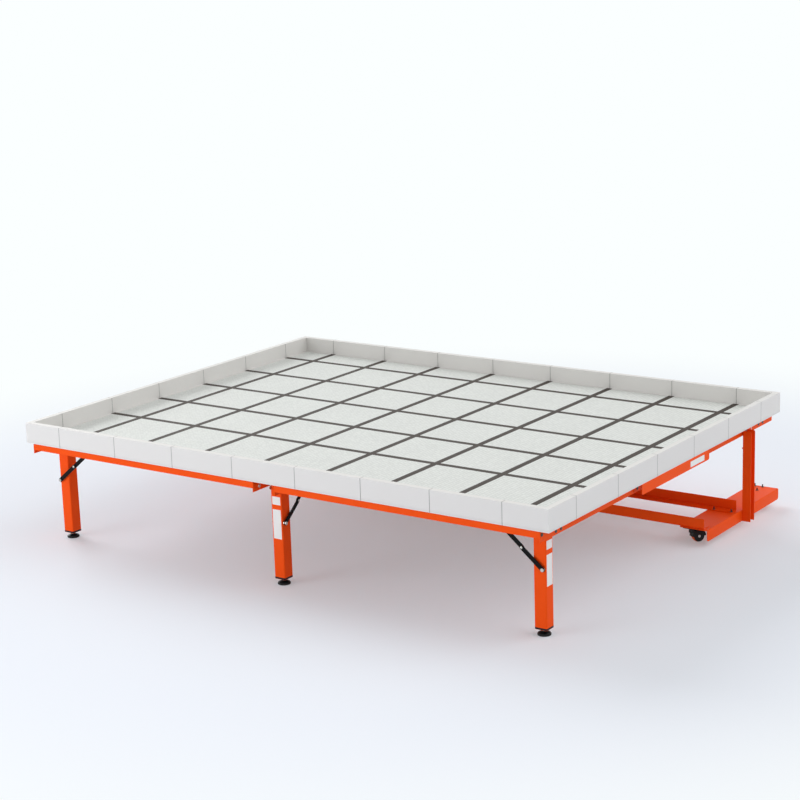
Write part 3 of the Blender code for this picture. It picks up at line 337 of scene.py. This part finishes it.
def label_vinyl():
    """Blank white vinyl label: smooth, slightly uneven where it lies on the paint."""
    mat, tree = blank_material("label_vinyl")
    code = colours().label
    place = add(tree, "ShaderNodeTexCoord")
    ripple = add(tree, "ShaderNodeTexNoise", {"Vector": (place, "Object"),
                                              "Scale": per_metre(20.0), "Detail": 1.0})
    tone = add(tree, "ShaderNodeMix", {"Factor": (ripple, "Fac"), "A": shade(code, 0.95),
                                       "B": shade(code, 1.0)}, data_type="RGBA")
    bump = add(tree, "ShaderNodeBump", {"Height": (ripple, "Fac"), "Strength": 0.1,
                                        "Distance": 0.0003})
    shader = add(tree, "ShaderNodeBsdfPrincipled",
                 {"Base Color": (tone, "Result"), "Roughness": 0.3,
                  "Normal": (bump, "Normal")})
    return close_material(mat, tree, shader)


MAKERS = {
    "powder_coated_steel": powder_coat,
    "tile_polypropylene": tile_polypropylene,
    "wall_polypropylene": wall_polypropylene,
    "printed_line_ink": printed_ink,
    "tyre_polyurethane": tyre_polyurethane,
    "label_vinyl": label_vinyl,
    "black_satin_paint": lambda: grained_black("black_satin_paint", colours().black, 2.5, 0.36,
                                               0.0003, gloss=0.1),
    "black_nylon": lambda: grained_black("black_nylon", colours().black, 1.6, 0.45, 0.0003),
    "foot_rubber": lambda: grained_black("foot_rubber", colours().rubber, 3.0, 0.65, 0.0005),
    "zinc_plate": lambda: zinc_plate("zinc_plate", 1.0, 0.3),
    # Painted shade: zinc darkened to a fifth, standing for the dark surroundings that the bolts
    # reflect
    "zinc_with_painted_shade": lambda: zinc_plate("zinc_with_painted_shade", 0.2, 0.3),
}
# Nodes by the start of their names. All the others are powder coated
NODE_STARTS = {
    "tile_polypropylene": ("floor_tiles",),
    "wall_polypropylene": ("wall_",),
    "black_satin_paint": ("brace_lower", "brace_upper", "caster_plate"),
    "black_nylon": ("caster_fork",),
    "tyre_polyurethane": ("caster_wheel",),
    "zinc_plate": ("brace_bolt", "leg_pivot", "tilt_bolt", "leg_foot"),
}


def material(name):
    return bpy.data.materials.get(name) or MAKERS[name]()


def node_finish(node):
    """Name of the material that a node gets."""
    for name, starts in NODE_STARTS.items():
        if node.startswith(starts):
            return name
    return "powder_coated_steel"


# Mesh helpers

def loft(bm, rings, place=None, cyclic=False):
    """Join rings of equal length with quads, then close both ends or join last to first."""
    place = place or Matrix()
    rows = [[bm.verts.new(place @ Vector(point)) for point in ring] for ring in rings]
    pairs = list(zip(rows, rows[1:]))
    if cyclic:
        pairs.append((rows[-1], rows[0]))
    faces = []
    for low, high in pairs:
        for i in range(len(low)):
            j = (i + 1) % len(low)
            faces.append(bm.faces.new((low[i], low[j], high[j], high[i])))
    if not cyclic:
        faces.append(bm.faces.new(list(reversed(rows[0]))))
        faces.append(bm.faces.new(rows[-1]))
    bmesh.ops.recalc_face_normals(bm, faces=faces)


def ring(radius, sides, height=0.0):
    return [(radius * math.cos(math.tau * i / sides), radius * math.sin(math.tau * i / sides),
             height) for i in range(sides)]


def turn(bm, profile, sides, place, cyclic=False):
    """Turn (radius, height) points round a frame's Z axis."""
    loft(bm, [ring(radius, sides, height) for radius, height in profile], place, cyclic)


def facing(point, direction):
    """Frame at a point whose Z looks along a direction."""
    quaternion = Vector(direction).to_track_quat("Z", "Y")
    return Matrix.Translation(Vector(point)) @ quaternion.to_matrix().to_4x4()


def rounded(half_u, half_v, radius, height):
    """Points of a rectangle with round corners, at one height."""
    points = []
    for corner, (su, sv) in enumerate(((1, 1), (-1, 1), (-1, -1), (1, -1))):
        for step in range(CORNER_STEPS + 1):
            angle = math.radians(90) * (corner + step / CORNER_STEPS)
            points.append((su * (half_u - radius) + radius * math.cos(angle),
                           sv * (half_v - radius) + radius * math.sin(angle), height))
    return points


def plate(bm, half_u, half_v, radius, thick, place):
    """Thin plate with round corners, standing on its frame's XY plane."""
    loft(bm, [rounded(half_u, half_v, radius, height) for height in (0.0, thick)], place)


def new_piece(name, body, finish, build):
    """Object made from a mesh function, riding on a body."""
    bm = bmesh.new()
    build(bm)
    mesh = bpy.data.meshes.new(name)
    bm.to_mesh(mesh)
    bm.free()
    mesh.materials.append(material(finish))
    mesh.shade_smooth()
    mesh.set_sharp_from_angle(angle=SHARP_ANGLE)
    item = bpy.data.objects.new(name, mesh)
    bpy.context.scene.collection.objects.link(item)
    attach(item, body)
    return item


def hex_bolt(bm, point, direction, stud=0.0):
    """Washer and chamfered hexagon head, with an optional stud end above it."""
    radius, height = sizes().head_radius, sizes().head_height
    place = facing(point, direction)
    washer = radius * 1.3
    rim = height * 0.22
    turn(bm, [(washer, 0.0), (washer, rim * 0.7), (washer * 0.97, rim)], 24, place)
    turn(bm, [(radius, rim), (radius, height * 0.85), (radius * 0.88, height)], 6, place)
    crown = radius * 0.5
    top = height + max(stud, height * 0.08)
    turn(bm, [(crown, height * 0.9), (crown, top - crown * 0.15), (crown * 0.8, top)], 16, place)


# Bolt places, measured on the frame and the base

def frame_bolt_places():
    """Points and directions of the bolt heads along the two ends of the frame."""
    outer = RAIL_HIGH[0]
    leg_low, leg_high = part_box("leg_tube_right")
    leg_y = (leg_low[1] + leg_high[1]) / 2
    rear_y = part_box("splice_plate_rear")[0][1] + 1.5 * INCH
    handle_low, handle_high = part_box("side_handle_right")
    corner_inset, handle_inset, handle_drop = 0.55 * INCH, 1.0 * INCH, 1.0 * INCH
    # Middle and half spacing of each pair of bolts, and how far below the tiles it lies
    pairs = ((leg_y, 0.7 * INCH, 1.09 * INCH), (rear_y, 0.75 * INCH, 1.04 * INCH))
    for side in (-1, 1):
        for y in (FRONT + corner_inset, BACK - corner_inset):
            yield (side * outer, y, CORNER_BOLT_Z), (side, 0, 0)
        for middle, reach, drop in pairs:
            for y in (middle - reach, middle + reach):
                yield (side * outer, y, DECK_Z - drop), (side, 0, 0)
        for y in (handle_low[1] + handle_inset, handle_high[1] - handle_inset):
            yield (side * (outer + HANDLE_SHEET), y, DECK_Z - handle_drop), (side, 0, 0)


def mid_bolt_places():
    """Points and directions of the bolt heads that face each other across the gap."""
    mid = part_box("mid_rail_right")[0][0]
    inset = 0.4 * INCH
    for side in (-1, 1):
        for y in (FRONT + inset, BACK - inset):
            yield (side * mid, y, CORNER_BOLT_Z), (-side, 0, 0)


def base_bolt_places():
    """Points, directions and stud lengths of the bolts on the rolling base."""
    outer, top = BASE_HIGH[0], BASE_HIGH[2]
    front_low, front_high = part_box("base_rail_front")
    rear_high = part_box("base_rail_rear")[1]
    post_low, post_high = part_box("post_right")
    post_y = (post_low[1] + post_high[1]) / 2
    post_web = outer + GAP + SHEET
    # The rails' flat flanges lie on the cross feet, and their bolts stand on those flanges
    shelf = front_low[2] + SHEET
    rows = ((0.95 * INCH, 4.05 * INCH, rear_high[1] - 1.45 * INCH),
            (1.6 * INCH, 4.65 * INCH, front_low[1] + 1.1 * INCH))
    inset_x, inset_y = 0.25 * INCH, 0.35 * INCH
    behind_flange = front_low[1] + 0.45 * INCH
    for side, hand in ((-1, "left"), (1, "right")):
        for near, far, y in rows:
            for x in (outer - near, outer - far):
                yield (side * x, y, shelf), (0, 0, 1), BOLT_END
        for end in ("front", "rear"):
            low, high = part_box(f"caster_plate_{end}_{hand}")
            for x in (low[0] + inset_x, high[0] - inset_x):
                for y in (low[1] + inset_y, high[1] - inset_y):
                    if end == "front":
                        y = max(y, behind_flange)
                    yield (x, y, shelf if y < front_high[1] else top), (0, 0, 1), BOLT_END
        for z in (BASE_LOW[2] + 0.45 * INCH, BASE_LOW[2] + 1.35 * INCH):
            yield (side * post_web, post_y, z), (side, 0, 0), 0.0


# Operators

class RISER_OT_finish(bpy.types.Operator):
    """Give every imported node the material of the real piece"""
    bl_idname = "riser.finish"
    bl_label = "Finish Nodes"

    def execute(self, context):
        for name, item in NODES.items():
            item.data.materials.clear()
            item.data.materials.append(material(node_finish(name)))
        return {"FINISHED"}


class RISER_OT_lines(bpy.types.Operator):
    """Lay the printed lines over the tiles, up to the walls"""
    bl_idname = "riser.lines"
    bl_label = "Field Lines"

    def execute(self, context):
        step, half = sizes().line_step, sizes().line_width / 2
        margin = 0.48 * INCH
        low = Vector(FIELD_LOW) - Vector((margin, margin, 0))
        high = Vector(FIELD_HIGH) + Vector((margin, margin, 0))
        top = FIELD_HIGH[2]

        def centres(start, end):
            count = round((end - start) / step)
            return [start + step * (i + 0.5) for i in range(count)]

        columns = centres(FIELD_LOW[0], FIELD_HIGH[0])
        rows = centres(FIELD_LOW[1], FIELD_HIGH[1])

        def build(bm):
            for x in columns:
                strip(bm, (x - half, low.y), (x + half, high.y), top)
            edges = [low.x] + [x + s for x in columns for s in (-half, half)] + [high.x]
            for y in rows:
                for x0, x1 in zip(edges[::2], edges[1::2]):
                    strip(bm, (x0, y - half), (x1, y + half), top)
        new_piece("field_lines", "table", "printed_line_ink", build)
        return {"FINISHED"}


def strip(bm, low, high, z):
    film = sizes().film
    corners = ((low[0], low[1]), (high[0], low[1]), (high[0], high[1]), (low[0], high[1]))
    loft(bm, [[(x, y, height) for x, y in corners] for height in (z, z + film)])


class RISER_OT_frame_bolts(bpy.types.Operator):
    """Set the bolt heads of the frame, the leg brackets and the grab channels"""
    bl_idname = "riser.frame_bolts"
    bl_label = "Frame Bolts"

    def execute(self, context):
        # The frame bolts get zinc darkened with painted shade
        for name, places, finish in (("frame_bolts", frame_bolt_places, "zinc_with_painted_shade"),
                                     ("mid_rail_bolts", mid_bolt_places, "zinc_plate")):
            def build(bm):
                for point, direction in places():
                    hex_bolt(bm, point, direction)
            new_piece(name, "table", finish, build)
        return {"FINISHED"}


class RISER_OT_base_bolts(bpy.types.Operator):
    """Set the bolts of the base rails, the casters and the posts"""
    bl_idname = "riser.base_bolts"
    bl_label = "Base Bolts"

    def execute(self, context):
        def build(bm):
            for point, direction, stud in base_bolt_places():
                hex_bolt(bm, point, direction, stud)
        # The base bolts get zinc darkened with painted shade
        new_piece("base_bolts", "base", "zinc_with_painted_shade", build)
        return {"FINISHED"}


class RISER_OT_leg_caps(bpy.types.Operator):
    """Fit the black end caps round the foot of each leg"""
    bl_idname = "riser.leg_caps"
    bl_label = "Leg Caps"

    def execute(self, context):
        for leg in LEGS:
            low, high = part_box("leg_tube_" + leg)
            centre = Vector(((low[0] + high[0]) / 2, (low[1] + high[1]) / 2, low[2]))
            half = (high[0] - low[0]) / 2 + 0.0002
            bore = STEM_RADIUS + 0.0006
            corner, top = 0.0046, 0.008

            def build(bm):
                levels = ((half * 0.97, -SEAT), (half, top * 0.1), (half, top * 0.95),
                          (half * 0.985, top))
                rings = [rounded(size, size, corner, height) for size, height in levels]
                for height in (top, -SEAT):
                    rings.append([(*(Vector(point[:2]).normalized() * bore), height)
                                  for point in rings[0]])
                loft(bm, rings, Matrix.Translation(centre), cyclic=True)
            new_piece("leg_cap_" + leg, "leg_" + leg, "black_nylon", build)
        return {"FINISHED"}


class RISER_OT_rivets(bpy.types.Operator):
    """Cap the knee rivets of the braces with bright heads"""
    bl_idname = "riser.rivets"
    bl_label = "Knee Rivets"

    def execute(self, context):
        for joint in frame["joints"]:
            if not joint["name"].endswith("_lower_link"):
                continue
            leg = joint["name"].split("_")[0]
            centre, outward = rivet_head(NODES["brace_lower_" + leg], Vector(joint["axis"]))

            def build(bm):
                edge, dome = 0.19 * INCH, 0.0012
                turn(bm, [(edge, -SEAT), (edge, dome * 0.25), (0.15 * INCH, dome * 0.75),
                          (0.06 * INCH, dome)], 32, facing(centre, outward))
            new_piece("knee_rivet_" + leg, "lower_" + leg, "zinc_plate", build)
        return {"FINISHED"}


def rivet_head(item, axis):
    """Centre and direction of the small round face at one side of a link."""
    flatness = 5e-5
    found = []
    for way in (axis, -axis):
        points = [vertex.co for vertex in item.data.vertices]
        reach = max(point.dot(way) for point in points)
        face = [point for point in points if point.dot(way) > reach - flatness]
        low = Vector([min(point[i] for point in face) for i in range(3)])
        high = Vector([max(point[i] for point in face) for i in range(3)])
        found.append(((high - low).length, (low + high) / 2, way))
    return min(found, key=lambda row: row[0])[1:]


class RISER_OT_feet(bpy.types.Operator):
    """Build the levelling feet: rubber pad, steel disc, threaded stem and nut"""
    bl_idname = "riser.feet"
    bl_label = "Levelling Feet"

    def execute(self, context):
        for leg in LEGS:
            low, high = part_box("leg_foot_" + leg)
            centre = Vector(((low[0] + high[0]) / 2, (low[1] + high[1]) / 2, 0.0))
            place = Matrix.Translation(centre)
            radius = (high[0] - low[0]) / 2
            disc_z = 0.26 * INCH
            stem = STEM_RADIUS
            nut_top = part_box("leg_tube_" + leg)[0][2] - 0.0004
            nut_low = nut_top - 0.17 * INCH

            def pad(bm):
                turn(bm, [(radius * 0.5, 0.0), (radius * 0.96, 0.0), (radius, disc_z * 0.2),
                          (radius, disc_z * 0.8), (radius * 0.97, disc_z)], 56, place)

            def disc(bm):
                rise = 0.34 * INCH
                profile = [(radius * 0.93, disc_z), (radius * 0.93, disc_z + rise * 0.2),
                           (radius * 0.9, disc_z + rise * 0.28),
                           (radius * 0.55, disc_z + rise * 0.72),
                           (radius * 0.36, disc_z + rise * 0.86), (radius * 0.34, disc_z + rise)]
                turn(bm, profile, 56, place)

            def thread(bm):
                pitch = sizes().thread_pitch
                turns = int((high[2] - disc_z) / pitch) - 1
                profile = [(stem * 0.9, disc_z)]
                for i in range(turns):
                    z = disc_z + pitch * (i + 0.5)
                    profile += [(stem * 0.9, z), (stem, z + pitch * 0.35),
                                (stem, z + pitch * 0.5)]
                turn(bm, profile, 24, place)

            def nut(bm):
                edge = stem * 1.8
                turn(bm, [(edge * 0.9, nut_low), (edge, nut_low + 0.0006),
                          (edge, nut_top - 0.0006), (edge * 0.9, nut_top)], 6, place)

            body = "foot_" + leg
            new_piece("foot_pad_" + leg, body, "foot_rubber", pad)
            shown = new_piece("foot_disc_" + leg, body, "black_nylon", disc)
            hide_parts("leg_foot_" + leg)
            new_piece("foot_stem_" + leg, body, "zinc_plate", thread)
            new_piece("foot_nut_" + leg, body, "zinc_plate", nut)
        return {"FINISHED"}


class RISER_OT_wheels(bpy.types.Operator):
    """Build the caster wheels: polyurethane tyre, nylon hub and axle caps"""
    bl_idname = "riser.wheels"
    bl_label = "Caster Wheels"

    def execute(self, context):
        rolls = [joint for joint in frame["joints"] if joint["name"].endswith("_roll")]
        radius = 1.0 * INCH
        half = 0.39 * INCH
        hub = radius * 0.62
        cheek = half + 0.16 * INCH
        for joint in rolls:
            name = joint["name"].removesuffix("_roll")
            place = facing(joint["pos_m"], joint["axis"])

            def tyre(bm):
                profile = [(hub, -half * 0.9), (radius * 0.9, -half), (radius * 0.96, -half * 0.94),
                           (radius * 0.99, -half * 0.75), (radius, -half * 0.4),
                           (radius, half * 0.4), (radius * 0.99, half * 0.75),
                           (radius * 0.96, half * 0.94), (radius * 0.9, half), (hub, half * 0.9)]
                turn(bm, profile, 64, place, cyclic=True)

            def core(bm):
                turn(bm, [(hub * 0.4, -half * 0.98), (hub * 0.55, -half * 0.98),
                          (hub * 0.7, -half * 0.6), (hub, -half * 0.6), (hub, half * 0.6),
                          (hub * 0.7, half * 0.6), (hub * 0.55, half * 0.98),
                          (hub * 0.4, half * 0.98)], 48, place)

            def caps(bm):
                for side in (-1, 1):
                    base = cheek * side
                    turn(bm, [(0.23 * INCH, base), (0.23 * INCH, base + side * 0.0006),
                              (0.19 * INCH, base + side * 0.0014),
                              (0.08 * INCH, base + side * 0.0018)], 32, place)

            tread = new_piece("caster_tyre_" + name, "wheel_" + name,
                              "tyre_polyurethane", tyre)
            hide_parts("caster_wheel_" + name)
            new_piece("caster_hub_" + name, "wheel_" + name, "black_nylon", core)
            new_piece("axle_caps_" + name, "fork_" + name, "zinc_plate", caps)
        return {"FINISHED"}


class RISER_OT_labels(bpy.types.Operator):
    """Stick the blank labels on two legs and on a grab channel"""
    bl_idname = "riser.labels"
    bl_label = "Blank Labels"

    def execute(self, context):
        film, corner = sizes().film, 0.05 * INCH
        # Half height of each label on a leg, and how far below the tiles its middle lies
        rows = ((0.64 * INCH, 3.425 * INCH), (2.315 * INCH, 7.13 * INCH))
        for leg, direction in (("middle", (0, -1, 0)), ("right", (1, 0, 0))):
            low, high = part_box("leg_tube_" + leg)
            centre = Vector(((low[0] + high[0]) / 2, (low[1] + high[1]) / 2, DECK_Z))
            reach = (high[0] - low[0]) / 2

            def build(bm):
                for half, drop in rows:
                    middle = centre + Vector(direction) * reach - Vector((0, 0, drop))
                    plate(bm, 0.76 * INCH, half, corner, film, facing(middle, direction))
            new_piece("leg_labels_" + leg, "leg_" + leg, "label_vinyl", build)
        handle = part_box("side_handle_right")[1]
        middle_of_tag = (handle[0], handle[1] - 4.05 * INCH, DECK_Z - 0.9 * INCH)

        def tag(bm):
            plate(bm, 2.35 * INCH, 0.45 * INCH, corner, film, facing(middle_of_tag, (1, 0, 0)))
        new_piece("handle_label", "table", "label_vinyl", tag)
        return {"FINISHED"}


class RISER_OT_stage(bpy.types.Operator):
    """Make the studio: floor, world, lamps and camera"""
    bl_idname = "riser.stage"
    bl_label = "Studio"

    def execute(self, context):
        floor_plane()
        world_light()
        lamps()
        camera()
        context.scene.view_settings.view_transform = "Standard"
        return {"FINISHED"}


def floor_plane():
    """Matt pale floor that holds the shadow near the riser, lightened there by a painted glow, and
    glows plain white far off.
    """
    mat, tree = blank_material("studio_floor")
    place = add(tree, "ShaderNodeTexCoord")
    length = add(tree, "ShaderNodeVectorMath", {0: (place, "Object")}, operation="LENGTH")
    # Painted light: near the riser the camera and reflections see the floor mixed with 22 % white
    # glow, which lightens its shadow; from 2 m to 3.6 m off the glow rises to plain white
    far = add(tree, "ShaderNodeMapRange", {"Value": (length, "Value"), "From Min": 2.0,
                                           "From Max": 3.6, "To Min": 0.22, "To Max": 1.0},
              interpolation_type="SMOOTHSTEP")
    path = add(tree, "ShaderNodeLightPath")
    seen = add(tree, "ShaderNodeMath", {0: (path, "Is Camera Ray"), 1: (path, "Is Glossy Ray")},
               operation="MAXIMUM")
    amount = add(tree, "ShaderNodeMath", {0: (far, "Result"), 1: (seen, "Value")},
                 operation="MULTIPLY")
    matt = add(tree, "ShaderNodeBsdfDiffuse", {"Color": linear(colours().floor)})
    white = add(tree, "ShaderNodeEmission", {"Color": linear(colours().background),
                                             "Strength": 1.0})
    mixed = add(tree, "ShaderNodeMixShader", {0: (amount, "Value"), 1: (matt, "BSDF"),
                                              2: (white, "Emission")})
    add(tree, "ShaderNodeOutputMaterial", {"Surface": (mixed, "Shader")})
    mesh = bpy.data.meshes.new("studio_floor")
    reach, drop = 45.0, 0.0005
    mesh.from_pydata([(reach * x, reach * y, 0) for x, y in ((-1, -1), (1, -1), (1, 1), (-1, 1))],
                     [], [(0, 1, 2, 3)])
    mesh.materials.append(mat)
    item = bpy.data.objects.new("studio_floor", mesh)
    item.location.z = -drop
    bpy.context.scene.collection.objects.link(item)


def world_light():
    """Even light all round, which the camera and reflections see as plain white."""
    world = bpy.data.worlds.new("studio_world")
    world.use_nodes = True
    tree = world.node_tree
    tree.nodes.clear()
    path = add(tree, "ShaderNodeLightPath")
    seen = add(tree, "ShaderNodeMath", {0: (path, "Is Camera Ray"), 1: (path, "Is Glossy Ray")},
               operation="MAXIMUM")
    seen = add(tree, "ShaderNodeMath", {0: (seen, "Value"), 1: (path, "Is Transmission Ray")},
               operation="MAXIMUM")
    even = add(tree, "ShaderNodeBackground", {"Color": (1.0, 1.0, 1.0, 1.0), "Strength": 0.48})
    white = add(tree, "ShaderNodeBackground", {"Color": linear(colours().background),
                                               "Strength": 1.0})
    mixed = add(tree, "ShaderNodeMixShader", {0: (seen, "Value"), 1: (even, "Background"),
                                              2: (white, "Background")})
    add(tree, "ShaderNodeOutputWorld", {"Surface": (mixed, "Shader")})
    bpy.context.scene.world = world


def lamp(name, kind, place, energy):
    """Lamp at a place that shines at the origin."""
    light = bpy.data.lights.new(name, kind)
    light.energy = energy
    item = bpy.data.objects.new(name, light)
    item.location = place
    item.rotation_euler = Vector(place).to_track_quat("Z", "Y").to_euler()
    bpy.context.scene.collection.objects.link(item)
    return light


def lamps():
    """Two soft suns, on the left and behind on the right, and a panel low in front."""
    lamp("key", "SUN", (-3.9, 1.5, 2.1), 1.7).angle = math.radians(40)
    lamp("side", "SUN", (3.5, 1.75, 2.75), 0.95).angle = math.radians(70)
    lamp("front", "AREA", (-3.5, -7.0, 1.3), 205.0).size = 4.0


def camera():
    """Camera at the photograph's angle, solved on the grid of the tiles."""
    data = bpy.data.cameras.new("photo_camera")
    data.sensor_width = 36.0
    data.lens = 87.78
    item = bpy.data.objects.new("photo_camera", data)
    item.location = (4.5407, -6.4844, 2.4949)
    item.rotation_euler = Euler([math.radians(a) for a in (76.1207, 1.815, 34.8448)])
    bpy.context.scene.collection.objects.link(item)
    bpy.context.scene.camera = item


class RISER_PT_panel(bpy.types.Panel):
    """Sizes, colours and steps of the riser"""
    bl_idname = "RISER_PT_panel"
    bl_label = "Folding Riser"
    bl_space_type = "VIEW_3D"
    bl_region_type = "UI"
    bl_category = "Riser"

    def draw(self, context):
        for group in (context.scene.riser_sizes, context.scene.riser_colours):
            box = self.layout.box()
            for key in group.__annotations__:
                box.prop(group, key)
        for step in STEPS:
            self.layout.operator(step.bl_idname)


STEPS = (RISER_OT_finish, RISER_OT_lines, RISER_OT_frame_bolts, RISER_OT_base_bolts,
         RISER_OT_leg_caps, RISER_OT_rivets, RISER_OT_feet, RISER_OT_wheels, RISER_OT_labels,
         RISER_OT_stage)
CLASSES = (RiserSizes, RiserColours) + STEPS + (RISER_PT_panel,)


def register():
    for item in CLASSES:
        bpy.utils.register_class(item)
    bpy.types.Scene.riser_sizes = bpy.props.PointerProperty(type=RiserSizes)
    bpy.types.Scene.riser_colours = bpy.props.PointerProperty(type=RiserColours)


def unregister():
    del bpy.types.Scene.riser_colours
    del bpy.types.Scene.riser_sizes
    for item in reversed(CLASSES):
        bpy.utils.unregister_class(item)


def main():
    register()
    bpy.ops.riser.finish()
    bpy.ops.riser.lines()
    bpy.ops.riser.frame_bolts()
    bpy.ops.riser.base_bolts()
    bpy.ops.riser.leg_caps()
    bpy.ops.riser.rivets()
    bpy.ops.riser.feet()
    bpy.ops.riser.wheels()
    bpy.ops.riser.labels()
    bpy.ops.riser.stage()


if __name__ == "__main__":
    main()
